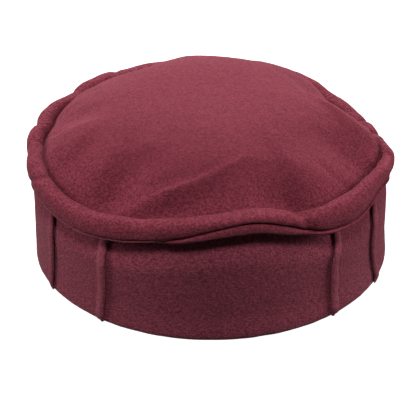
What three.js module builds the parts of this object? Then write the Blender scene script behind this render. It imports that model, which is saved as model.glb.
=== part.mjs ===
// A pakol, the soft round cap of the Hindu Kush, sewn from fleece: a domed crown, a padded roll round
// its rim, a ring of cloth under the roll, and an upright band of panels with folded seams.
// Millimetres, +Z up. The cap rests on its band's lower edge at Z = 0, and the wearer looks along -Y.
// Angles are in degrees round Z, 0 at the front and positive towards +X, the wearer's left.
import * as THREE from 'three';
import { mergeVertices } from 'three/addons/utils/BufferGeometryUtils.js';

// Driving dimensions
const HEAD_ROUND = 578; // the head that the band fits, measured round
const BAND_WALL = 3; // two layers of fleece
const CLOTH = 2; // one layer of fleece
const GAP = 0.35; // left between two sewn pieces
const BAND_GAP = 0.6; // left between the band's upper edge and the ring above it
const CROWN_RISE = 31; // the dome's top above the middle of the roll
const CROWN_FLATNESS = 3; // a higher power keeps more of the dome's middle flat
const CROWN_SHOULDER = 0.75; // a lower power makes the dome's edge steeper
const SEAM_PULL = 0.6; // how much of a fold the seam at the dome's edge pulls flat
const SEAM_PULL_FROM = 0.88; // the share of the radius from which it does
const RING_WIDTH = 14; // from the roll's outer edge inwards to the ring's inner edge
const TUCKED_LIP = 0.2; // how far a tucked lip lies below the ring's top face
const BAND_TURN_IN = 3; // how far the band's upper edge leans in under a full rim
const LIFT_TURN_IN = 0.6; // how much further it leans in for each millimetre that the rim lifts

// The shares of the band's height between which it leans in
const LEAN_FROM = 0.6;
const LEAN_TO = 1.05;

const BAND_INNER = HEAD_ROUND / (2 * Math.PI);
const BAND_OUTER = BAND_INNER + BAND_WALL;

// How finely the pieces are cut
const ROUND_STEPS = 96;
const ROLL_SIDES = 10;
const BAND_STEPS = 6;
const PANEL_STEP = 5; // degrees along a panel

// The rim, section by section: how far out it reaches, half the roll's width, the height of the rim's
// middle line, its half height, the share of its height which the ring's lip takes up from below, and
// the lip's place inside the reach. The ring is tucked in under the roll but for the front, where the
// roll lifts off its lip.
const RIM = [
  { angle: -172, reach: 97.0, wide: 5.6, height: 61.5, half: 6.0, lip: 0, inset: 10.0 },
  { angle: -152, reach: 97.0, wide: 5.6, height: 62.5, half: 6.0, lip: 0, inset: 10.0 },
  { angle: -137, reach: 97.0, wide: 5.2, height: 62.5, half: 6.0, lip: 0, inset: 10.0 },
  { angle: -118, reach: 98.0, wide: 4.8, height: 61.0, half: 6.0, lip: 0, inset: 10.0 },
  { angle: -94, reach: 98.0, wide: 4.6, height: 61.5, half: 6.0, lip: 0, inset: 10.0 },
  { angle: -72, reach: 99.5, wide: 4.7, height: 58.5, half: 6.0, lip: 0, inset: 10.0 },
  { angle: -47, reach: 100.5, wide: 5.3, height: 56.1, half: 6.2, lip: 0, inset: 10.0 },
  { angle: -30, reach: 99.5, wide: 5.6, height: 58.2, half: 6.3, lip: 0.02, inset: 10.0 },
  { angle: -14, reach: 98.5, wide: 5.6, height: 62.5, half: 5.5, lip: 0.1, inset: 6.0 },
  { angle: 2, reach: 98.0, wide: 5.6, height: 66.5, half: 4.7, lip: 0.45, inset: 0.0 },
  { angle: 11, reach: 98.0, wide: 5.6, height: 67.1, half: 4.8, lip: 0.48, inset: 0.0 },
  { angle: 19, reach: 98.5, wide: 5.6, height: 64.4, half: 5.3, lip: 0.36, inset: 0.3 },
  { angle: 27, reach: 100.0, wide: 5.6, height: 60.9, half: 5.6, lip: 0.13, inset: 6.0 },
  { angle: 39, reach: 100.5, wide: 5.6, height: 59.5, half: 7.3, lip: 0, inset: 10.0 },
  { angle: 57, reach: 100.5, wide: 5.6, height: 59.2, half: 7.4, lip: 0, inset: 10.0 },
  { angle: 75, reach: 100.3, wide: 5.6, height: 58.9, half: 6.7, lip: 0, inset: 10.0 },
  { angle: 86, reach: 96.3, wide: 5.6, height: 58.1, half: 6.0, lip: 0, inset: 10.0 },
  { angle: 98, reach: 93.5, wide: 5.6, height: 57.0, half: 6.0, lip: 0, inset: 10.0 },
  { angle: 110, reach: 92.5, wide: 5.6, height: 55.3, half: 6.0, lip: 0, inset: 10.0 },
  { angle: 122, reach: 93.0, wide: 5.6, height: 57.0, half: 6.0, lip: 0, inset: 10.0 },
  { angle: 140, reach: 95.5, wide: 5.6, height: 60.0, half: 6.0, lip: 0, inset: 10.0 },
  { angle: 158, reach: 97.0, wide: 5.6, height: 62.0, half: 6.0, lip: 0, inset: 10.0 },
];

// Creases that pinch the roll: half width in degrees, and how far the cloth draws in there.
const CREASES = [
  { angle: -152, half: 5.0, pinch: 1.2 },
  { angle: -127, half: 5.0, pinch: 2.2 },
  { angle: -104, half: 4.0, pinch: 1.8 },
  { angle: -86, half: 4.0, pinch: 0.8 },
  { angle: 26, half: 4.0, pinch: 2.0 },
  { angle: 72, half: 4.0, pinch: 1.4 },
  { angle: 94, half: 4.5, pinch: 1.2 },
  { angle: 128, half: 5.0, pinch: 1.0 },
  { angle: 168, half: 5.0, pinch: 1.2 },
];

// Folds of the dome that run in from the roll: half width in degrees, how much of the radius they
// cross, their height, below zero for a hollow, and the degrees that their inner end stands round
// from the outer one.
const FOLDS = [
  { angle: -47, half: 7, run: 0.44, lift: -4.6, skew: 6 },
  { angle: -38, half: 7, run: 0.34, lift: 2.6, skew: 60 },
  { angle: -28, half: 8, run: 0.3, lift: -2.8, skew: 54 },
  { angle: -2, half: 18, run: 0.28, lift: -4.0, skew: 0 },
  { angle: 25, half: 5, run: 0.36, lift: -3.6, skew: 9 },
  { angle: 38, half: 6, run: 0.34, lift: 1.6, skew: 0 },
  { angle: 59, half: 5, run: 0.35, lift: 1.6, skew: -8 },
  { angle: 74, half: 6, run: 0.45, lift: -3.4, skew: -12 },
  { angle: 86, half: 5, run: 0.6, lift: 2.8, skew: -3 },
  { angle: 108, half: 13, run: 0.6, lift: -3.6, skew: 0 },
  { angle: 140, half: 10, run: 0.4, lift: 1.6, skew: 6 },
  { angle: 162, half: 8, run: 0.4, lift: -1.8, skew: -6 },
  { angle: -175, half: 9, run: 0.4, lift: 1.8, skew: 5 },
  { angle: -150, half: 6, run: 0.35, lift: -1.6, skew: 8 },
  { angle: -135, half: 26, run: 0.6, lift: 3.2, skew: 0 },
  { angle: -116, half: 7, run: 0.35, lift: -2.4, skew: 18 },
  { angle: -102, half: 5, run: 0.4, lift: 2.4, skew: 24 },
  { angle: -88, half: 6, run: 0.35, lift: -1.8, skew: 14 },
  { angle: -74, half: 5, run: 0.35, lift: 1.6, skew: 10 },
  { angle: -58, half: 5, run: 0.35, lift: 1.8, skew: 4 },
];

// The band's seams: the folded edge of the panel before or after the seam laps over the other one,
// and the fold sways a little on its way up.
const SEAMS = [
  { angle: -142.5, fold: 'after', sway: 0.4 },
  { angle: -117, fold: 'after', sway: -0.4 },
  { angle: -63, fold: 'before', sway: 0.5 },
  { angle: -37.5, fold: 'before', sway: 0.4 },
  { angle: 37.5, fold: 'after', sway: -1.0 },
  { angle: 60, fold: 'after', sway: -1.6 },
  { angle: 119, fold: 'before', sway: 0.4 },
  { angle: 142.5, fold: 'before', sway: -0.4 },
];
const SWAY_HALF = 8; // degrees on each side of a seam that sway with it
const PANEL_NAMES = [
  'band_back_right', 'band_right', 'band_front_right', 'band_front',
  'band_front_left', 'band_left', 'band_back_left', 'band_back',
];

// A folded edge in plan, from its nose back into the panel: the way along the band from the panel's
// edge, and the rise of its two faces above the band's outer face.
const FOLD_NOSE = [
  { along: -2.4, under: 0.8, over: 1.4 },
  { along: -1.8, under: GAP, over: 1.9 },
  { along: -0.8, under: GAP, over: 2.2 },
  { along: 0, under: GAP, over: 2.2 },
];
const FOLD_BACK = [
  { along: 1.6, over: 1.7 },
  { along: 3.2, over: 0.9 },
  { along: 5.4, over: 0.2 },
  { along: 7, over: 0 },
];

const FLEECE = 0x7a3240;
const FLEECE_WRONG_SIDE = 0x64293a;

// Shape functions shared by the pieces

// A smooth hump of height 1 at 0 that fades out at about 2.
const hump = (x) => Math.exp(-x * x);

const turnBetween = (a, b) => THREE.MathUtils.euclideanModulo(a - b + 180, 360) - 180;

const RIM_COLUMNS = ['reach', 'wide', 'height', 'half', 'lip', 'inset'];
const rimRound = [...RIM, { ...RIM[0], angle: RIM[0].angle + 360 }];
const rimCurve = new THREE.CubicInterpolant(
  rimRound.map((row) => row.angle),
  rimRound.flatMap((row) => RIM_COLUMNS.map((column) => row[column])),
  RIM_COLUMNS.length,
);
rimCurve.settings = { endingStart: THREE.WrapAroundEnding, endingEnd: THREE.WrapAroundEnding };

// The rim at an angle: its sections joined by a smooth curve, drawn in at the creases.
function rimAt(angle) {
  const start = RIM[0].angle;
  const along = start + THREE.MathUtils.euclideanModulo(angle - start, 360);
  const [reach, wide, height, half, lip, inset] = rimCurve.evaluate(along);
  const pinch = CREASES.reduce((sum, c) => sum + c.pinch * hump(turnBetween(angle, c.angle) / c.half), 0);
  const rim = { reach: reach - pinch, wide, height, inset };
  rim.top = height + half - pinch / 2;
  rim.bottom = height - half;
  rim.middle = rim.reach - wide;
  rim.seam = rim.reach - 2 * wide - GAP; // where the dome meets the roll
  rim.divide = rim.bottom + 2 * half * lip; // between the lip below and the roll above
  rim.ringTop = rim.bottom + CLOTH / 2;
  rim.bandTop = rim.ringTop - CLOTH - BAND_GAP;
  return rim;
}

const NOMINAL_RIM = rimAt(180);
const SEAM_SINK = 1; // the dome's edge, above the roll's middle line

// Height of the dome's folds at an angle and a share of its radius: each rises over its run and is
// pulled most of the way flat again by the seam at the dome's edge.
function foldHeight(angle, share) {
  const pulledFlat = SEAM_PULL * THREE.MathUtils.smoothstep(share, SEAM_PULL_FROM, 1);
  return FOLDS.reduce((sum, fold) => {
    const into = THREE.MathUtils.smoothstep(share, 1 - fold.run, 1 - fold.run / 4);
    const line = fold.angle + fold.skew * Math.min((1 - share) / fold.run, 1);
    return sum + fold.lift * into * (1 - pulledFlat) * hump(turnBetween(angle, line) / fold.half);
  }, 0);
}

// Building helpers

// The point at an angle, a radius and a height, as its three coordinates.
function around(angle, radius, height) {
  const turn = THREE.MathUtils.degToRad(angle);
  return [radius * Math.sin(turn), -radius * Math.cos(turn), height];
}

// Keeps only positions, joins the vertices that coincide, and drops the triangles that closed up.
function weld(geometry) {
  geometry.deleteAttribute('normal');
  geometry.deleteAttribute('uv');
  const welded = mergeVertices(geometry, 1e-3);
  const corners = welded.index.array;
  const kept = [];
  for (let i = 0; i < corners.length; i += 3) {
    const [a, b, c] = corners.slice(i, i + 3);
    if (a !== b && b !== c && c !== a) kept.push(a, b, c);
  }
  welded.setIndex(kept);
  welded.computeVertexNormals();
  return welded;
}

// Moves every vertex, given and returned as an angle, a radius and a height.
function reshape(geometry, move) {
  const place = geometry.attributes.position;
  for (let i = 0; i < place.count; i += 1) {
    const x = place.getX(i);
    const y = place.getY(i);
    const to = move({
      angle: THREE.MathUtils.radToDeg(Math.atan2(x, -y)),
      radius: Math.hypot(x, y),
      height: place.getZ(i),
    });
    place.setXYZ(i, ...around(to.angle, to.radius, to.height));
  }
  geometry.computeVertexNormals();
  return geometry;
}

// A closed outline of radius and height, turned once round Z.
function turned(outline) {
  const points = outline.map(([radius, height]) => new THREE.Vector2(radius, height));
  return weld(new THREE.LatheGeometry(points, ROUND_STEPS).rotateX(Math.PI / 2));
}

function sewnPiece(name, geometry, color) {
  const cloth = new THREE.MeshStandardMaterial({ color, roughness: 0.95, metalness: 0 });
  const mesh = new THREE.Mesh(geometry, cloth);
  mesh.name = name;
  return mesh;
}

// The pieces

// The crown's dome: one layer of cloth, drawn into folds where it is gathered to the roll.
function crownTop() {
  const shares = [0, 0.2, 0.38, 0.54, 0.67, 0.78, 0.87, 0.94, 0.985, 1];
  const rise = (share) => CROWN_RISE * (1 - share ** CROWN_FLATNESS) ** CROWN_SHOULDER;
  const edge = NOMINAL_RIM.height + SEAM_SINK;
  const { seam } = NOMINAL_RIM;
  const outside = shares.map((share) => [share * seam, edge + rise(share)]);
  const inside = shares.map((share) => [share * (seam - CLOTH), edge - CLOTH + rise(share)]);
  const shell = turned([...inside, ...outside.reverse()]);
  return reshape(shell, ({ angle, radius, height }) => {
    const share = Math.min(radius / seam, 1);
    const rim = rimAt(angle);
    return {
      angle,
      radius: radius + (rim.seam - seam) * share ** 3,
      height: height + (rim.height - NOMINAL_RIM.height) * share ** 3 + foldHeight(angle, share),
    };
  });
}

// The padded roll round the rim: a ring whose section follows the rim's table.
function rimRoll() {
  const section = [];
  for (let i = 0; i <= ROLL_SIDES; i += 1) {
    const turn = (2 * Math.PI * (i % ROLL_SIDES)) / ROLL_SIDES;
    section.push([NOMINAL_RIM.middle + NOMINAL_RIM.wide * Math.cos(turn), Math.sin(turn)]);
  }
  return reshape(turned(section), ({ angle, radius, height }) => {
    const rim = rimAt(angle);
    const bottom = rim.divide + GAP;
    return {
      angle,
      radius: rim.middle + (radius - NOMINAL_RIM.middle) * (rim.wide / NOMINAL_RIM.wide),
      height: (rim.top + bottom) / 2 + (height * (rim.top - bottom)) / 2,
    };
  });
}

// The ring of cloth under the roll, with a lip at its edge that swells where the roll lifts off it.
// Its section runs from 0 at the ring's inner edge to 1 at the lip, and in height from -1 on its under
// face to 0 on its top face and 1 on the lip's crest.
function crownUnderside() {
  const section = [
    [0, -1], [0.75, -1], [0.96, -0.5], [1, 0.3], [0.94, 1], [0.75, 1], [0.55, 0], [0, 0], [0, -1],
  ];
  const inner = NOMINAL_RIM.reach - RING_WIDTH;
  const ring = turned(section.map(([share, height]) => [inner + share * RING_WIDTH, height]));
  return reshape(ring, ({ angle, radius, height }) => {
    const rim = rimAt(angle);
    const share = (radius - inner) / RING_WIDTH;
    const crest = Math.max(rim.divide - rim.ringTop, -TUCKED_LIP);
    return {
      angle,
      radius: THREE.MathUtils.lerp(rim.reach - RING_WIDTH, rim.reach - rim.inset, share),
      height: rim.ringTop + height * (height < 0 ? CLOTH : crest),
    };
  });
}

const PLAIN_EDGE = [{ turn: 0, inner: BAND_INNER, outer: BAND_OUTER }];

// The stations of a folded edge, as angles on from the panel's edge with the wall's two radii.
function foldStations() {
  const station = ({ along, under, over }) => ({
    turn: THREE.MathUtils.radToDeg(along / BAND_OUTER),
    inner: under === undefined ? BAND_INNER : BAND_OUTER + under,
    outer: BAND_OUTER + over,
  });
  const edge = { ...FOLD_NOSE.at(-1), under: undefined };
  return [...FOLD_NOSE, edge, ...FOLD_BACK].map(station);
}

// One panel in plan: the wall's two radii at stations from one seam to the next.
function panelStations(from, to) {
  const seamGap = THREE.MathUtils.radToDeg(GAP / 2 / BAND_OUTER);
  const first = from.angle + seamGap;
  const last = (to.angle > from.angle ? to.angle : to.angle + 360) - seamGap;
  const atFirst = from.fold === 'after' ? foldStations() : PLAIN_EDGE;
  const atLast = to.fold === 'before' ? foldStations() : PLAIN_EDGE;
  const start = first + atFirst.at(-1).turn;
  const end = last - atLast.at(-1).turn;
  const steps = Math.ceil((end - start) / PANEL_STEP);
  const between = [];
  for (let i = 1; i < steps; i += 1) {
    between.push({ angle: start + ((end - start) * i) / steps, inner: BAND_INNER, outer: BAND_OUTER });
  }
  return [
    ...atFirst.map(({ turn, ...wall }) => ({ ...wall, angle: first + turn })),
    ...between,
    ...atLast.toReversed().map(({ turn, ...wall }) => ({ ...wall, angle: last - turn })),
  ];
}

// Degrees that the band sways round at an angle and a share of its height: one wave from bottom to top.
function swayAt(angle, share) {
  const wave = Math.sin(Math.PI * (2 * share - 0.55));
  const near = (seam) => hump(turnBetween(angle, seam.angle) / SWAY_HALF);
  return wave * SEAMS.reduce((sum, seam) => sum + seam.sway * near(seam), 0);
}

// One panel of the band: a wall that stands on Z = 0 and leans in at the top, under the roll.
function bandPanel(from, to) {
  const stations = panelStations(from, to);
  const block = new THREE.BoxGeometry(1, 1, 1, stations.length - 1, 1, BAND_STEPS);
  const place = block.attributes.position;
  for (let i = 0; i < place.count; i += 1) {
    const station = stations[Math.round((place.getX(i) + 0.5) * (stations.length - 1))];
    const share = place.getZ(i) + 0.5;
    const angle = station.angle + swayAt(station.angle, share);
    const rim = rimAt(angle);
    const drawnIn = Math.max(NOMINAL_RIM.reach - rim.reach, 0);
    const lifted = Math.max(rim.bottom - NOMINAL_RIM.bottom, 0);
    const turnIn = BAND_TURN_IN + drawnIn + LIFT_TURN_IN * lifted;
    const lean = turnIn * THREE.MathUtils.smoothstep(share, LEAN_FROM, LEAN_TO);
    const radius = (place.getY(i) > 0 ? station.inner : station.outer) - lean;
    place.setXYZ(i, ...around(angle, radius, share * rim.bandTop));
  }
  return weld(block);
}

const pakol = new THREE.Group();
pakol.add(
  sewnPiece('crown_top', crownTop(), FLEECE),
  sewnPiece('rim_roll', rimRoll(), FLEECE),
  sewnPiece('crown_underside', crownUnderside(), FLEECE_WRONG_SIDE),
);
const band = new THREE.Group();
SEAMS.forEach((seam, i) => {
  const next = SEAMS[(i + 1) % SEAMS.length];
  band.add(sewnPiece(PANEL_NAMES[i], bandPanel(seam, next), FLEECE));
});
pakol.add(band);

export default pakol;
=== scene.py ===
import math

import bmesh
import bpy
import numpy as np
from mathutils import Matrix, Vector


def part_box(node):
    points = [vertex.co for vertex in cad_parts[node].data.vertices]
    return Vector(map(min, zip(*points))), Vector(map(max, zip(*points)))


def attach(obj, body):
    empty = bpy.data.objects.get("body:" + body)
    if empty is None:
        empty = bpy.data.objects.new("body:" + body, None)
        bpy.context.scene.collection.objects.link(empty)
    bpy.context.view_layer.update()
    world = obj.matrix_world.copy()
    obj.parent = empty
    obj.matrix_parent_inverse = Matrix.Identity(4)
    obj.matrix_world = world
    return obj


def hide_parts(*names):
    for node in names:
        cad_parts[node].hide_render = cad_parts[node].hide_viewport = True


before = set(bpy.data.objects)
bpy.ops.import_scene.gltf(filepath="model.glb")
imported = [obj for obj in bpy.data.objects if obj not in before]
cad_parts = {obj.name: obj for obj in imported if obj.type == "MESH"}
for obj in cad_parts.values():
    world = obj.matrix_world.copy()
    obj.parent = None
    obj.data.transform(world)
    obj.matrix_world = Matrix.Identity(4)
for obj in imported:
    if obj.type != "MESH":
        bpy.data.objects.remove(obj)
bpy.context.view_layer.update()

MM = 0.001

# The photograph's camera
IMAGE_SIDE = 416
FOCAL_PX = 1856.4
VANISHING_CENTRE = (210.2, 171.3)
CAMERA_AIM = Vector((0.0, 0.0, 0.045))
CAMERA_DISTANCE = 1.0
CAMERA_ELEVATION = 28.89
CAMERA_AZIMUTH = -3.6
SENSOR_MM = 36.0

# Floor and light
FLOOR_HALF = 6.0
FLOOR_TONE = 0.4
FLOOR_GLOW = 0.95
SURROUND_LIGHT = 0.04
LIGHTS = (
    # name, place, size, watts
    ("back", (0.0, 1.45, 0.8), 1.1, 38),
    ("front_above", (-0.1, -0.75, 1.1), 0.3, 8.4),
    ("left_side", (-1.25, 0.2, 0.48), 0.8, 10.5),
    ("right_side", (1.25, 0.1, 0.48), 0.8, 11.5),
)

# Cloth
CLOTH = 2.0  # one layer of fleece
BAND_WALL = 3.0  # the band's two layers
HEAD_ROUND = 578.0
BAND_INNER = HEAD_ROUND / (2 * math.pi)
BAND_OUTER = BAND_INNER + BAND_WALL
SEWN_GAP = 0.35  # between two pieces along a seam
BAND_GAP = -0.8  # the band's top reaches into the ring

# The cloth's unevenness on each piece
NAP_DETAIL = 2
CROWN_NAP = (6, 0.5)  # size and depth
ROLL_NAPS = ((7, 0.7), (18, 1.0))
RING_NAP = (6, 0.5)
BAND_NAP = (8, 0.5)

# The fleece's pile: patterns to the metre, and their tones
PILE_SCALE = 850
PILE_DETAIL = 3
PILE_ROUGHNESS = 0.65
PILE_RAMP = (0.38, 0.62)
PILE_SQUASH = 1.5  # the pile's clumps lie wider than high
CLUMP_SCALE = 420
CLUMP_SHADE = 0.86
DRIFT_SCALE = 30
DRIFT_SHADE = 0.95
TONE_DETAIL = 2
TONE_RAMP = (0.3, 0.7)
TUFT_HEIGHT = 0.9
CLUMP_HEIGHT = 0.8
SMOOTH_FROM = 66.0  # height over which the crown's pile gets smoother
SMOOTH_TO = 86.0
SMOOTH_TOP = 0.5
# A painted highlight: the pale colour mixed in where a piece marks its crests, welt and lip as catching light
PAINTED_HIGHLIGHT = (0.40, 0.105, 0.135)
SHEEN_TINT = (1.0, 0.66, 0.76)

# How finely the pieces are meshed
MERGE_DISTANCE = 1e-7
SPUN_RADIUS = 10.0  # of the ring that a section is spun into, before it is drawn to the rim
RIM_STATIONS = 96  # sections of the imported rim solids
CROWN_CELLS = 190  # along each side of the crown's grid
ROLL_SIDES = 40
WELT_SIDES = 20  # more of them along the welt
ROLL_STEPS = 640
RING_STEPS = 480
PANEL_STEP = 0.9  # degrees
PANEL_LEVELS = 44

# The crown
CROWN_FLATNESS = 3.0
CROWN_SHOULDER = 0.75
CROWN_TUCK = 1.06  # the dome's edge is tucked into the roll
PULLED_FLAT = 0.5  # how much of a fold the seam at the roll takes away
PULLED_FROM = 0.9  # share of the radius
FULL_RUN = 0.25  # share of a fold's run, next to the roll, where it has its full height
GRID_CROWDING = 0.3  # draws the grid's cells together towards the dome's edge

# Folds of the crown, from the roll inwards: half widths in degrees on either side, share of the radius
# that they cross, height with hollows below zero, and the degrees that their inner end stands round from
# the outer.
CROWN_FOLDS = (
    # angle, half before, half after, run, lift, skew
    (-70, 3, 3, 0.34, 0.8, -2),
    (-61, 6, 6, 0.40, -0.7, -7),
    (-47, 5, 5, 0.36, 2.2, -6),
    (-44, 7, 8, 0.38, -8.5, 9),
    (-36, 7, 5, 0.32, 4.6, 56),
    (-25, 7, 7, 0.30, -2.0, 42),
    (-20, 16, 16, 0.12, -3.5, 0),
    (-2, 18, 18, 0.28, -4.0, 0),
    (20.5, 9, 6.5, 0.28, -7.0, -3),
    (27, 6, 5, 0.16, -4.5, -2),
    (35, 6, 10, 0.34, 3.6, -3),
    (66, 11, 8, 0.42, -8.0, -6),
    (132, 14, 14, 0.35, 2.4, 0),
    (162, 8, 8, 0.40, -1.8, -6),
    (-175, 9, 9, 0.40, 1.8, 5),
    (-150, 6, 6, 0.35, -1.6, 8),
    (-143, 24, 24, 0.60, -2.6, 0),
    (-122, 14, 14, 0.30, 1.6, 0),
    (-102, 8, 7, 0.42, -3.5, 18),
    (-88, 3.5, 13, 0.42, 2.3, 16),
)

# The sharp fold at the wearer's left, from its inner end to the roll: its crest and the drop beyond it
RIDGE_SHARES = (0.62, 0.66, 0.74, 0.80, 0.90, 1.0)
RIDGE_ANGLES = (98.0, 95.0, 87.0, 84.0, 83.0, 88.0)
RIDGE_INTO = (0.55, 0.78)  # shares of the radius over which it rises
RIDGE_RISE = 3.4
RIDGE_HALVES = (7.0, 2.5)  # degrees before and after the crest
RIDGE_DROP = 4.0
RIDGE_FOOT = 9.0  # degrees from the crest to the foot of the drop
RIDGE_END = (14.0, 42.0)  # degrees over which the cloth comes up again
# A painted highlight along the sharp fold's crest: its strength, and its half width in degrees
RIDGE_HIGHLIGHT = 0.4
HIGHLIGHT_HALF = 1.3

# Small gathers beside the seam at the roll
CROWN_GATHERS = (
    # angle, half, run, lift, skew
    (-70, 2.5, 0.16, -0.8, 4),
    (-52, 2.5, 0.14, 0.7, 5),
    (8, 3.0, 0.16, 0.7, 8),
    (13, 2.5, 0.18, -0.9, 8),
    (18, 2.5, 0.20, 1.0, 9),
    (32, 2.5, 0.20, -1.1, 5),
    (50, 3.0, 0.24, -1.4, -8),
    (65, 2.5, 0.22, 1.0, -9),
    (79, 2.5, 0.20, -0.9, -6),
    (97, 3.0, 0.20, 0.9, 4),
    (124, 3.0, 0.18, 0.9, 6),
    (151, 3.0, 0.18, -0.9, -5),
    (174, 3.0, 0.18, -0.9, 6),
    (-163, 3.0, 0.20, 0.9, 6),
    (-141, 3.0, 0.18, -0.8, 8),
    (-126, 3.0, 0.18, 0.8, 10),
    (-95, 2.5, 0.18, -0.8, 12),
    (-81, 2.5, 0.16, 0.7, 8),
)

# Sharp creases across the roll: half width in degrees, depth, and the degrees that they lean
# from the roll's lower side to its upper side.
ROLL_CREASES = (
    # angle, half, depth, lean
    (-152, 1.4, 0.8, 4),
    (-127, 1.4, 0.8, -3),
    (-104, 0.9, 1.2, 2),
    (-88, 0.9, 0.9, -2),
    (-73, 1.1, 1.0, 5),
    (-24, 2.2, 0.4, -4),
    (26, 2.0, 1.3, -2),
    (72, 1.5, 1.0, 4),
    (91.5, 1.5, 1.9, 3),
    (104, 1.7, 2.0, 2),
    (128, 1.4, 0.3, -4),
    (168, 1.5, 0.8, 3),
)

# The welt along the roll's lower side: a bead under a groove, by the way that they face
WELT_FACING = -48.0  # degrees from level
WELT_HALF = 5.0
WELT_RISE = 0.5
GROOVE_FACING = -36.0
GROOVE_HALF = 4.0
GROOVE_DEPTH = 0.45
WELT_SPAN = (-75.0, -35.0)  # the stretch of the section that is meshed more finely
CREASE_FACING = 0.75  # the side where the creases are deepest, in radians from level
ROLL_SQUARENESS = 2.5  # 2 is a plain ellipse
ROLL_CORNER = math.sin(math.radians(72))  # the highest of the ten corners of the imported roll's section
RING_TUCK = 5.0  # how far in the ring's edge lies where the roll hides it
LIP_LIFT = 0.4  # the lip's crest against the roll
LIP_STARTS = (-25.0, -11.0)  # degrees over which the lip comes out at the front, and goes in again
LIP_ENDS = (66.0, 84.0)
LIP_HIGHLIGHT_AT = (0.97, -0.35)  # the painted highlight along the lip, in the units of its outline
LIP_HIGHLIGHT_HALF = (0.03, 0.3)

# The thinner stretch of the rim at the wearer's left
THIN_RISE = 4.5  # of the roll's lower side and the lip
THIN_AT = 70.0
THIN_HALF = 17.0
DOME_REACH = 4.0  # of the dome and the roll's inner side, outwards
REACH_AT = 82.0
REACH_HALF = 14.0
REACH_TRIMS = (
    # angle, half and depth of the flatter stretches on either side of the roll's corner there
    (60, 11, 3.0),
    (86, 8, 2.0),
)

# The band's seams: the folded edge of the panel on one side laps over the other, and sways on its way up.
SEAMS = (
    # angle, folded panel, rise of the fold, sway, the turn of its upper end, and the share of the way up
    # from which it turns
    (-142.5, "after", 1.5, 0.4, 0.6, 0.72),
    (-117.0, "after", 1.5, -0.4, -0.8, 0.72),
    (-63.0, "before", 2.6, 0.5, -1.8, 0.72),
    (-38.5, "before", 2.6, 0.4, 0.4, 0.72),
    (37.4, "after", 2.6, 0.0, 5.4, 0.55),
    (60.0, "after", 2.6, -1.2, 1.8, 0.72),
    (119.0, "before", 1.5, 0.4, 0.8, 0.72),
    (142.5, "before", 1.5, -0.4, -0.6, 0.72),
)
SWAY_HALF = 8.0  # degrees of cloth on either side that go along
SWAY_PHASE = 0.55  # half turns of the wave before the hem
TURNED_BY = 1.05  # share of the way up
PANELS = (
    # the piece, and the node that it stands for, from each seam to the next
    ("panel_back_right", "band_back_right"),
    ("panel_right", "band_right"),
    ("panel_front_right", "band_front_right"),
    ("panel_front", "band_front"),
    ("panel_front_left", "band_front_left"),
    ("panel_left", "band_left"),
    ("panel_back_left", "band_back_left"),
    ("panel_back", "band_back"),
)
FOLD_NOSE = 2.2  # how far a folded edge laps over the next panel
FOLD_WIDTH = 4.0
FOLD_ROUND = 0.8  # 1 is a parabola, and less is fuller
FOLD_START = 0.3  # from the panel's edge to the fold's first full section
FOLD_BLUNT = 0.06  # least thickness of the nose, as a share of the fold's
FOLD_STEPS = 9
# A painted highlight on the folds' crests, growing over the millimetres below that a fold stands proud
FOLD_HIGHLIGHT = 0.25
HIGHLIGHT_FROM = (0.8, 2.3)  # millimetres that the fold stands proud
FOLD_END = 0.35  # what is left of a fold's rise at the hem
FOLD_FULL = 6.0  # height at which it has all of it
TURN_IN_FRONT = 5.0  # how far in the band's top stands
TURN_IN_SIDE = 2.5
SIDE_SPAN = (55.0, 85.0)  # degrees over which the front becomes the side
LIFT_TURN_IN = 0.6  # more of it for each millimetre that the rim is lifted
DEEP_TURN_INS = (
    # angle, half and depth where the gap under the lip is deepest
    (42, 13, 5.0),
    (-25, 11, 2.0),
)
LEAN_FROM = 0.66  # shares of the band's height over which it leans in
LEAN_TO = 1.05
HEM_ROUND = 1.0
HEM_SHARE = 0.45  # the most of the wall that the hem's rounding takes
HEM_FLARE = 1.9  # the hem stands out a little at the front
FLARE_AT = 20.0
FLARE_HALF = 75.0
FLARE_UP = 16.0  # height at which it ends
HEM_LIFT = 0.3  # room for the nap above the floor
FOLD_TIP = 2.2  # the rise of a fold's lower corner
LAP_HALF = 1.2  # degrees
HEM_REACH = 8.0  # how far up the corner pulls the cloth


# Shape functions

def hump(x):
    """A smooth hump of height 1 at 0 that fades out at about 2."""
    return np.exp(-x * x)


def smoothstep(x, start, end):
    t = np.clip((x - start) / (end - start), 0.0, 1.0)
    return t * t * (3 - 2 * t)


def turn_between(a, b):
    return (a - b + 180) % 360 - 180


def polar(points):
    return (
        np.degrees(np.arctan2(points[:, 0], -points[:, 1])),
        np.hypot(points[:, 0], points[:, 1]),
        points[:, 2],
    )


def placed(angle, radius, height):
    """Points in metres from angles in degrees and radii and heights in millimetres."""
    turn = np.radians(angle)
    return np.stack([radius * np.sin(turn), -radius * np.cos(turn), height], axis=-1) * MM


def bared(angle):
    """How far the lip under the roll shows: 1 at the front, 0 where the roll hides it."""
    return smoothstep(angle, *LIP_STARTS) * (1 - smoothstep(angle, *LIP_ENDS))


def round_rim(samples, angle):
    """A smooth closed curve through evenly spaced samples, at angles in degrees."""
    count = len(samples)
    along = (np.asarray(angle) / 360 * count) % count
    first = np.floor(along).astype(int)
    part = along - first
    a, b, c, d = (samples[(first + k) % count] for k in (-1, 0, 1, 2))
    return b + part / 2 * ((c - a) + part * (2 * a - 5 * b + 4 * c - d + part * (3 * (b - c) + d - a)))


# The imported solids, section by section

def solid_points(node):
    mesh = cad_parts[node].data
    flat = np.empty(len(mesh.vertices) * 3)
    mesh.vertices.foreach_get("co", flat)
    return flat.reshape(-1, 3) / MM


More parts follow.
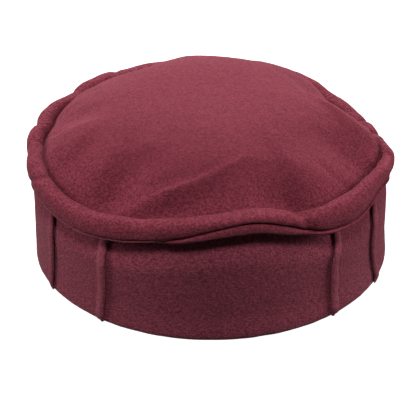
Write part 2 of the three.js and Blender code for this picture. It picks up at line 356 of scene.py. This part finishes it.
def rim_sections(node):
    """The inner and outer radius and the lowest and highest point of a ring at each station."""
    angle, radius, height = polar(solid_points(node))
    station = np.rint(angle * RIM_STATIONS / 360).astype(int) % RIM_STATIONS
    rows = []
    for i in range(RIM_STATIONS):
        here = station == i
        rows.append((radius[here].min(), radius[here].max(), height[here].min(), height[here].max()))
    return np.array(rows).T


def crown_edge():
    """The radius and height of the dome's outer edge at each station."""
    angle, radius, height = polar(solid_points("crown_top"))
    station = np.rint(angle * RIM_STATIONS / 360).astype(int) % RIM_STATIONS
    rows = []
    for i in range(RIM_STATIONS):
        here = np.flatnonzero(station == i)
        edge = here[radius[here].argmax()]
        rows.append((radius[edge], height[edge]))
    return np.array(rows).T


ROLL_INSIDE, ROLL_REACH, ROLL_BOTTOM, ROLL_TOP = rim_sections("rim_roll")
RING_INSIDE, _, RING_BOTTOM, LIP_TOP = rim_sections("crown_underside")
EDGE_RADIUS, EDGE_HEIGHT = crown_edge()
BACK = RIM_STATIONS // 2

# The thinner stretch at the wearer's left
STATION_ANGLE = np.arange(RIM_STATIONS) * 360 / RIM_STATIONS
RAISED = THIN_RISE * hump(turn_between(STATION_ANGLE, THIN_AT) / THIN_HALF)
for lower_side in (ROLL_BOTTOM, RING_BOTTOM, LIP_TOP):
    lower_side += RAISED
for at, half, depth in REACH_TRIMS:
    ROLL_REACH -= depth * hump(turn_between(STATION_ANGLE, at) / half)
for inner_side in (ROLL_INSIDE, EDGE_RADIUS):
    inner_side += DOME_REACH * hump(turn_between(STATION_ANGLE, REACH_AT) / REACH_HALF)
CROWN_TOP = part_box("crown_top")[1][2] / MM
CROWN_RISE = CROWN_TOP - EDGE_HEIGHT[BACK]


# Meshing helpers

def finished(name, bm, smooth=True):
    """A piece from a bmesh, with its doubles merged and its faces turned outwards."""
    bmesh.ops.remove_doubles(bm, verts=bm.verts, dist=MERGE_DISTANCE)
    bmesh.ops.recalc_face_normals(bm, faces=bm.faces)
    mesh = bpy.data.meshes.new(name)
    bm.to_mesh(mesh)
    bm.free()
    if smooth:
        mesh.shade_smooth()
    else:
        mesh.shade_flat()
    piece = bpy.data.objects.new(name, mesh)
    bpy.context.collection.objects.link(piece)
    return piece


def vertices(piece):
    flat = np.empty(len(piece.data.vertices) * 3)
    piece.data.vertices.foreach_get("co", flat)
    return flat.reshape(-1, 3)


def move_vertices(piece, points):
    piece.data.vertices.foreach_set("co", points.ravel())
    piece.data.update()


def dress(piece, node, material):
    piece.data.materials.append(material)
    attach(piece, "root")
    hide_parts(node)


def paint_highlight(piece, share):
    """Marks a painted highlight, where the pile is painted pale as if it caught the light, from 0 to 1 at
    each vertex.
    """
    layer = piece.data.attributes.new("painted_highlight", "FLOAT", "POINT")
    layer.data.foreach_set("value", np.clip(share, 0, 1).astype(np.float32))


def nap(piece, size, depth):
    """The cloth's own unevenness: a soft displacement along the normals."""
    clouds = bpy.data.textures.new(piece.name + "_nap", "CLOUDS")
    clouds.noise_scale = size * MM
    clouds.noise_depth = NAP_DETAIL
    layer = piece.modifiers.new("nap", "DISPLACE")
    layer.texture = clouds
    layer.texture_coords = "LOCAL"
    layer.strength = depth * MM
    layer.mid_level = 0.5


# Materials

def new_material(name):
    material = bpy.data.materials.new(name)
    material.use_nodes = True
    return material, material.node_tree, material.node_tree.nodes["Principled BSDF"]


def add(tree, kind, **settings):
    node = tree.nodes.new(kind)
    for key, value in settings.items():
        setattr(node, key, value)
    return node


def noise(tree, coords, scale, detail, roughness=0.5):
    node = add(tree, "ShaderNodeTexNoise")
    node.inputs["Scale"].default_value = scale
    node.inputs["Detail"].default_value = detail
    node.inputs["Roughness"].default_value = roughness
    tree.links.new(coords, node.inputs["Vector"])
    return node.outputs["Fac"]


def blend_colour(tree, factor, start, end, colours):
    """A ramp between colours over part of a factor's range."""
    ramp = add(tree, "ShaderNodeValToRGB")
    ramp.color_ramp.elements[0].position = start
    ramp.color_ramp.elements[1].position = end
    for element, colour in zip(ramp.color_ramp.elements, colours):
        element.color = (*colour, 1)
    tree.links.new(factor, ramp.inputs["Fac"])
    return ramp.outputs["Color"]


def mixed(tree, factor, a, colour):
    """A colour mixed towards a plain one by a factor."""
    mix = add(tree, "ShaderNodeMix", data_type="RGBA")
    mix.inputs["B"].default_value = (*colour, 1)
    tree.links.new(factor, mix.inputs["Factor"])
    tree.links.new(a, mix.inputs["A"])
    return mix.outputs["Result"]


def multiply(tree, a, b):
    mix = add(tree, "ShaderNodeMix", data_type="RGBA", blend_type="MULTIPLY")
    mix.inputs["Factor"].default_value = 1
    tree.links.new(a, mix.inputs["A"])
    tree.links.new(b, mix.inputs["B"])
    return mix.outputs["Result"]


def fleece(name, dark, light, sheen):
    """Brushed fleece: short clumps of pile, smoother on top, a slow drift of tone, a soft sheen, and a
    painted highlight where a piece marks it.
    """
    material, tree, shader = new_material(name)
    coords = add(tree, "ShaderNodeTexCoord").outputs["Object"]
    flattened = add(tree, "ShaderNodeMapping")
    flattened.inputs["Scale"].default_value = (1, 1, PILE_SQUASH)
    tree.links.new(coords, flattened.inputs["Vector"])
    pile = noise(tree, flattened.outputs["Vector"], PILE_SCALE, PILE_DETAIL, PILE_ROUGHNESS)
    clumps = noise(tree, coords, CLUMP_SCALE, TONE_DETAIL)
    drift = noise(tree, coords, DRIFT_SCALE, TONE_DETAIL)
    colour = blend_colour(tree, pile, *PILE_RAMP, (dark, light))
    place = add(tree, "ShaderNodeSeparateXYZ")
    tree.links.new(coords, place.inputs["Vector"])
    smoother = add(tree, "ShaderNodeMapRange", interpolation_type="SMOOTHSTEP")
    smoother.inputs["From Min"].default_value = SMOOTH_FROM * MM
    smoother.inputs["From Max"].default_value = SMOOTH_TO * MM
    smoother.inputs["To Max"].default_value = SMOOTH_TOP
    tree.links.new(place.outputs["Z"], smoother.inputs["Value"])
    even = [(a + b) / 2 for a, b in zip(dark, light)]
    colour = mixed(tree, smoother.outputs["Result"], colour, even)
    for pattern, shade in ((clumps, CLUMP_SHADE), (drift, DRIFT_SHADE)):
        tone = blend_colour(tree, pattern, *TONE_RAMP, ((shade,) * 3, (1.0,) * 3))
        colour = multiply(tree, colour, tone)
    # Painted highlight: the pale colour mixed in by each piece's mark
    painted_highlight = add(tree, "ShaderNodeAttribute", attribute_name="painted_highlight").outputs["Fac"]
    colour = mixed(tree, painted_highlight, colour, PAINTED_HIGHLIGHT)
    tree.links.new(colour, shader.inputs["Base Color"])
    shader.inputs["Roughness"].default_value = 0.95
    shader.inputs["Specular IOR Level"].default_value = 0.06
    shader.inputs["Sheen Weight"].default_value = sheen
    shader.inputs["Sheen Roughness"].default_value = 0.15
    shader.inputs["Sheen Tint"].default_value = (*SHEEN_TINT, 1)
    tufts = add(tree, "ShaderNodeBump")
    tufts.inputs["Strength"].default_value = 1.0
    tufts.inputs["Distance"].default_value = TUFT_HEIGHT * MM
    tree.links.new(pile, tufts.inputs["Height"])
    lay = add(tree, "ShaderNodeBump")
    lay.inputs["Strength"].default_value = 0.5
    lay.inputs["Distance"].default_value = CLUMP_HEIGHT * MM
    tree.links.new(clumps, lay.inputs["Height"])
    tree.links.new(tufts.outputs["Normal"], lay.inputs["Normal"])
    tree.links.new(lay.outputs["Normal"], shader.inputs["Normal"])
    return material


FLEECE = fleece("burgundy_fleece", (0.15, 0.0235, 0.0375), (0.335, 0.0590, 0.0900), 0.05)
# The band's copy of the fleece, lighter than the rest: painted light that brightens the band; it also has
# more sheen
FLEECE_BAND_PAINTED_LIGHTER = fleece("burgundy_fleece_band_painted_lighter", (0.167, 0.0305, 0.0480), (0.37, 0.0755, 0.1140), 0.2)
# The ring's copy of the fleece, a little lighter than the rest: painted light on the lip
FLEECE_UNDER_PAINTED_LIGHTER = fleece("burgundy_fleece_under_painted_lighter", (0.155, 0.0245, 0.0390), (0.34, 0.0600, 0.0920), 0.05)


# The crown

def fold_height(angle, share):
    """What the folds and gathers add to the dome's height."""
    total = np.zeros_like(angle)
    pulled = 1 - PULLED_FLAT * smoothstep(share, PULLED_FROM, 1.0)
    gathers = tuple((at, half, half, run, lift, skew) for at, half, run, lift, skew in CROWN_GATHERS)
    for at, before, after, run, lift, skew in CROWN_FOLDS + gathers:
        aside = turn_between(angle, at + skew * np.clip((1 - share) / run, 0, 1))
        into = smoothstep(share, 1 - run, 1 - run * FULL_RUN)
        total += lift * into * pulled * hump(aside / np.where(aside < 0, before, after))
    return total


def from_ridge(angle, share):
    """Degrees from the sharp fold's crest."""
    return turn_between(angle, np.interp(share, RIDGE_SHARES, RIDGE_ANGLES))


def ridge_height(angle, share):
    """What the sharp fold adds to the dome's height, and the drop beyond it takes away."""
    aside = from_ridge(angle, share)
    before, after = RIDGE_HALVES
    crest = RIDGE_RISE * hump(aside / np.where(aside < 0, before, after))
    drop = RIDGE_DROP * smoothstep(aside, 0, RIDGE_FOOT) * (1 - smoothstep(aside, *RIDGE_END))
    return (crest - drop) * smoothstep(share, *RIDGE_INTO)


def crown_surface(angle, share):
    """The crown's outer face: radius and height at an angle and a share of the way to its edge."""
    seam = EDGE_RADIUS[BACK]
    edge = EDGE_HEIGHT[BACK]
    radius = share * seam + (round_rim(EDGE_RADIUS, angle) - seam) * share**3
    rise = CROWN_RISE * (1 - np.minimum(share, 1) ** CROWN_FLATNESS) ** CROWN_SHOULDER
    height = edge + rise + (round_rim(EDGE_HEIGHT, angle) - edge) * share**3
    height += fold_height(angle, share) + ridge_height(angle, share)
    roll_middle = (round_rim(ROLL_TOP, angle) + round_rim(ROLL_BOTTOM, angle)) / 2
    return radius, height + (roll_middle - height) * smoothstep(share, 1.0, CROWN_TUCK)


def crown():
    """One round cut of cloth: a square grid drawn into a disc, then raised into the dome."""
    bm = bmesh.new()
    bmesh.ops.create_grid(bm, x_segments=CROWN_CELLS, y_segments=CROWN_CELLS, size=1)
    piece = finished("crown_dome", bm)
    a, b = vertices(piece)[:, :2].T
    wide = np.abs(a) > np.abs(b)
    ring = np.where(wide, a, b)
    safe = np.where(ring == 0, 1, ring)
    turn = np.where(wide, b / safe * 45, 90 - a / safe * 45) + np.where(ring < 0, 180, 0)
    t = np.abs(ring)
    share = t * (1 + GRID_CROWDING - GRID_CROWDING * t**2) * CROWN_TUCK
    angle = turn_between(turn + 90, 0)
    move_vertices(piece, placed(angle, *crown_surface(angle, share)))
    # Painted highlight along the sharp fold's crest
    paint_highlight(piece, RIDGE_HIGHLIGHT * hump(from_ridge(angle, share) / HIGHLIGHT_HALF) * smoothstep(share, *RIDGE_INTO))
    nap(piece, *CROWN_NAP)
    wall = piece.modifiers.new("cloth", "SOLIDIFY")
    wall.thickness = CLOTH * MM
    wall.offset = -1
    dress(piece, "crown_top", FLEECE)


# The padded roll round the rim

def spun_ring(name, outline, radius, steps):
    """A closed outline of width and height, spun once round Z at a radius."""
    bm = bmesh.new()
    corners = [bm.verts.new((radius + wide, 0, high)) for wide, high in outline]
    edges = [bm.edges.new((corners[i - 1], corners[i])) for i in range(len(corners))]
    bmesh.ops.spin(
        bm,
        geom=corners + edges,
        cent=(0, 0, 0),
        axis=(0, 0, 1),
        angle=2 * math.pi,
        steps=steps,
        use_merge=True,
    )
    return finished(name, bm)


def squared(part):
    """One part of a point on a unit circle, moved out to a rounded square."""
    return np.sign(part) * np.abs(part) ** (2 / ROLL_SQUARENESS)


def roll():
    """A stuffed tube along the rim, pinched at its creases, with a welt where it is sewn to the band."""
    plain = np.linspace(WELT_SPAN[1], WELT_SPAN[0] + 360, ROLL_SIDES, endpoint=False)
    welt = np.linspace(*WELT_SPAN, WELT_SIDES, endpoint=False)
    turns = np.radians(np.concatenate([plain, welt]))
    outline = [(math.cos(t), math.sin(t)) for t in turns]
    piece = spun_ring("stuffed_roll", outline, SPUN_RADIUS, ROLL_STEPS)
    angle, radius, height = polar(vertices(piece))
    facing = np.arctan2(height, radius - SPUN_RADIUS)
    inside, reach = round_rim(ROLL_INSIDE, angle), round_rim(ROLL_REACH, angle)
    bottom, top = round_rim(ROLL_BOTTOM, angle), round_rim(ROLL_TOP, angle)
    swell = np.zeros_like(angle)
    for at, half, depth, lean in ROLL_CREASES:
        line = at + lean * np.sin(facing)
        showing = 0.5 + 0.5 * np.cos(facing - CREASE_FACING)
        swell -= depth * hump(turn_between(angle, line) / half) * showing
    level = np.degrees(facing)
    bead = WELT_RISE * hump((level - WELT_FACING) / WELT_HALF)
    groove = GROOVE_DEPTH * hump((level - GROOVE_FACING) / GROOVE_HALF)
    swell += (1 - bared(angle)) * (bead - groove)
    wide = (reach - inside) / 2 + swell
    tall = (top - bottom) / 2 / ROLL_CORNER + swell
    radius = (reach + inside) / 2 + wide * squared(np.cos(facing))
    height = (top + bottom) / 2 + tall * squared(np.sin(facing))
    move_vertices(piece, placed(angle, radius, height))
    # Painted highlight along the welt's bead, where the lip doesn't show
    paint_highlight(piece, (1 - bared(angle)) * bead / WELT_RISE)
    for layer in ROLL_NAPS:
        nap(piece, *layer)
    dress(piece, "rim_roll", FLEECE)


# The ring of cloth under the roll

RING_OUTLINE = (
    # share of the way from the ring's inner edge to the lip, and height: -1 is the under face,
    # 0 the top face and 1 the lip's crest
    (0.0, -0.8), (0.06, -1.0), (0.2, -1.0), (0.4, -1.0), (0.6, -1.0), (0.75, -1.0), (0.87, -0.86),
    (0.95, -0.5), (0.985, -0.1), (1.0, 0.25), (0.99, 0.6), (0.95, 0.88), (0.89, 1.0), (0.82, 0.92),
    (0.74, 0.65), (0.66, 0.3), (0.58, 0.08), (0.5, 0.0), (0.3, 0.0), (0.06, 0.0), (0.0, -0.2),
)


def ring():
    """A flat ring whose edge swells into a lip where the roll lifts off it."""
    piece = spun_ring("roll_underside", RING_OUTLINE, SPUN_RADIUS, RING_STEPS)
    angle, radius, height = polar(vertices(piece))
    share = radius - SPUN_RADIUS
    inner = round_rim(RING_INSIDE, angle)
    outer = round_rim(ROLL_REACH, angle) - RING_TUCK * (1 - bared(angle))
    face = round_rim(RING_BOTTOM, angle) + CLOTH
    crest = round_rim(LIP_TOP, angle) - face + LIP_LIFT * bared(angle)
    level = face + height * np.where(height < 0, CLOTH, crest)
    move_vertices(piece, placed(angle, inner + (outer - inner) * share, level))
    # Painted highlight: a pale line along the lip's edge
    across = hump((share - LIP_HIGHLIGHT_AT[0]) / LIP_HIGHLIGHT_HALF[0])
    paint_highlight(piece, across * hump((height - LIP_HIGHLIGHT_AT[1]) / LIP_HIGHLIGHT_HALF[1]))
    nap(piece, *RING_NAP)
    dress(piece, "crown_underside", FLEECE_UNDER_PAINTED_LIGHTER)


# The band

def folded_edge(fold_rise):
    """A folded edge in plan: the way along from the panel's edge, and the two faces' radii."""
    tip = BAND_OUTER + (SEWN_GAP + fold_rise) / 2
    rows = []
    for t in np.linspace(0, math.pi / 2, FOLD_STEPS):
        rise = (fold_rise - SEWN_GAP) / 2 * max(math.sin(t), FOLD_BLUNT)
        rows.append((-FOLD_NOSE * math.cos(t), tip - rise, tip + rise))
    for along in np.linspace(FOLD_START, FOLD_WIDTH, FOLD_STEPS):
        over = fold_rise * (1 - (along / FOLD_WIDTH) ** 2) ** FOLD_ROUND
        rows.append((along, BAND_INNER, BAND_OUTER + over))
    return [(math.degrees(along / BAND_OUTER), inner, outer) for along, inner, outer in rows]


def panel_plan(seam, following):
    """A panel in plan: angle and the wall's two radii, from one seam to the next."""
    here, folded_here, rise_here = seam[:3]
    there, folded_there, rise_there = following[:3]
    gap = math.degrees(SEWN_GAP / 2 / BAND_OUTER)
    first = here + gap
    last = there + (360 if there < here else 0) - gap
    plain = [(0.0, BAND_INNER, BAND_OUTER)]
    start = folded_edge(rise_here) if folded_here == "after" else plain
    end = folded_edge(rise_there) if folded_there == "before" else plain
    low, high = first + start[-1][0], last - end[-1][0]
    between = np.linspace(low, high, math.ceil((high - low) / PANEL_STEP) + 1)[1:-1]
    rows = [(first + turn, inner, outer) for turn, inner, outer in start]
    rows += [(at, BAND_INNER, BAND_OUTER) for at in between]
    rows += [(last - turn, inner, outer) for turn, inner, outer in reversed(end)]
    return np.array(rows)


def sway_at(angle, share):
    """Degrees that the seams and the cloth beside them stand round from the plan."""
    wave = np.sin(np.pi * (2 * share - SWAY_PHASE))
    return sum(
        (sway * wave + turn * smoothstep(share, start, TURNED_BY)) * hump(turn_between(angle, at) / SWAY_HALF)
        for at, _, _, sway, turn, start in SEAMS
    )


def panel(name, node, seam, following):
    """One panel of the band: a block of two faces, drawn to its plan, leaned in and hemmed."""
    plan = panel_plan(seam, following)
    cells = len(plan) - 1
    bm = bmesh.new()
    bmesh.ops.create_grid(bm, x_segments=cells, y_segments=1, size=0.5)
    raised = bmesh.ops.extrude_face_region(bm, geom=bm.faces[:])["geom"]
    upper = [v for v in raised if isinstance(v, bmesh.types.BMVert)]
    bmesh.ops.translate(bm, verts=upper, vec=(0, 0, 1))
    upright = [e for e in bm.edges if abs(e.verts[0].co.z - e.verts[1].co.z) > 0.5]
    bmesh.ops.subdivide_edges(bm, edges=upright, cuts=PANEL_LEVELS - 1, use_grid_fill=True)
    piece = finished(name, bm)
    block = vertices(piece)
    column = np.rint((block[:, 0] + 0.5) * cells).astype(int)
    outside = block[:, 1] < 0
    share = block[:, 2]
    planned = plan[column, 0]
    angle = planned + sway_at(planned, share)
    top = round_rim(RING_BOTTOM, angle) - BAND_GAP
    height = HEM_LIFT + share * (top - HEM_LIFT)
    drawn_in = np.maximum(ROLL_REACH[BACK] - round_rim(ROLL_REACH, angle), 0)
    lifted = np.maximum(round_rim(RING_BOTTOM, angle) - RING_BOTTOM[BACK], 0)
    aside = smoothstep(np.abs(turn_between(angle, 0)), *SIDE_SPAN)
    turn_in = TURN_IN_FRONT + (TURN_IN_SIDE - TURN_IN_FRONT) * aside + drawn_in + LIFT_TURN_IN * lifted
    turn_in += sum(deep * hump(turn_between(angle, at) / half) for at, half, deep in DEEP_TURN_INS)
    lean = turn_in * smoothstep(share, LEAN_FROM, LEAN_TO)
    proud = FOLD_END + (1 - FOLD_END) * smoothstep(height, HEM_LIFT, FOLD_FULL)
    inner, outer = (
        BAND_OUTER + (face - BAND_OUTER) * np.where(face > BAND_OUTER, proud, 1)
        for face in plan[column, 1:].T
    )
    turned = np.minimum(HEM_ROUND, HEM_SHARE * (outer - inner))
    near_end = np.clip(turned - (height - HEM_LIFT), 0, turned)
    hem = turned - np.sqrt(turned**2 - near_end**2)
    flare = HEM_FLARE * hump(turn_between(angle, FLARE_AT) / FLARE_HALF)
    flare *= 1 - smoothstep(height, 0, FLARE_UP)
    radius = np.where(outside, outer - hem, inner + hem) - lean + flare
    lap = sum(hump(turn_between(planned, at) / LAP_HALF) for at, *_ in SEAMS)
    tip = np.where(plan[column, 1] > BAND_OUTER, 1 - lap, 0)
    height += FOLD_TIP * tip * np.clip(1 - height / HEM_REACH, 0, 1) ** 2
    move_vertices(piece, placed(angle, radius, height))
    # Painted highlight on the outer face where a fold stands proud
    paint_highlight(piece, FOLD_HIGHLIGHT * outside * smoothstep(outer - BAND_OUTER, *HIGHLIGHT_FROM))
    nap(piece, *BAND_NAP)
    dress(piece, node, FLEECE_BAND_PAINTED_LIGHTER)


roll()
crown()
ring()
for i, (piece_name, node_name) in enumerate(PANELS):
    panel(piece_name, node_name, SEAMS[i], SEAMS[(i + 1) % len(SEAMS)])


# Floor, light and camera

def floor():
    bm = bmesh.new()
    bmesh.ops.create_grid(bm, x_segments=1, y_segments=1, size=FLOOR_HALF)
    piece = finished("floor", bm, smooth=False)
    material, _, shader = new_material("pale_floor")
    shader.inputs["Base Color"].default_value = (FLOOR_TONE, FLOOR_TONE, FLOOR_TONE, 1)
    shader.inputs["Roughness"].default_value = 0.9
    shader.inputs["Emission Color"].default_value = (1, 1, 1, 1)
    shader.inputs["Emission Strength"].default_value = FLOOR_GLOW
    piece.data.materials.append(material)
    piece.visible_diffuse = False


def soft_light(name, place, size, watts):
    lamp = bpy.data.lights.new(name, "AREA")
    lamp.shape = "DISK"
    lamp.size = size
    lamp.energy = watts
    light = bpy.data.objects.new(name, lamp)
    light.location = place
    light.rotation_euler = (CAMERA_AIM - Vector(place)).to_track_quat("-Z", "Y").to_euler()
    bpy.context.collection.objects.link(light)


def camera():
    tilt, turn = math.radians(CAMERA_ELEVATION), math.radians(CAMERA_AZIMUTH)
    back = Vector((math.cos(tilt) * math.sin(turn), -math.cos(tilt) * math.cos(turn), math.sin(tilt)))
    right = Vector((math.cos(turn), math.sin(turn), 0))
    up = back.cross(right)
    across = (IMAGE_SIDE / 2 - VANISHING_CENTRE[0]) / FOCAL_PX
    down = (IMAGE_SIDE / 2 - VANISHING_CENTRE[1]) / FOCAL_PX
    view = bpy.data.cameras.new("camera")
    view.sensor_width = SENSOR_MM
    view.lens = FOCAL_PX / IMAGE_SIDE * SENSOR_MM
    eye = bpy.data.objects.new("camera", view)
    eye.location = CAMERA_AIM + back * CAMERA_DISTANCE
    eye.rotation_euler = (right * across - up * down - back).to_track_quat("-Z", "Y").to_euler()
    bpy.context.collection.objects.link(eye)
    bpy.context.scene.camera = eye


def studio():
    """A white surround that lights the cap only a little."""
    world = bpy.data.worlds.new("studio")
    world.use_nodes = True
    tree = world.node_tree
    white = tree.nodes["Background"]
    white.inputs["Color"].default_value = (1, 1, 1, 1)
    seen = add(tree, "ShaderNodeMapRange")
    seen.inputs["To Min"].default_value = SURROUND_LIGHT
    tree.links.new(add(tree, "ShaderNodeLightPath").outputs["Is Camera Ray"], seen.inputs["Value"])
    tree.links.new(seen.outputs["Result"], white.inputs["Strength"])
    bpy.context.scene.world = world


floor()
studio()
for light in LIGHTS:
    soft_light(*light)
camera()
bpy.context.scene.view_settings.view_transform = "Standard"
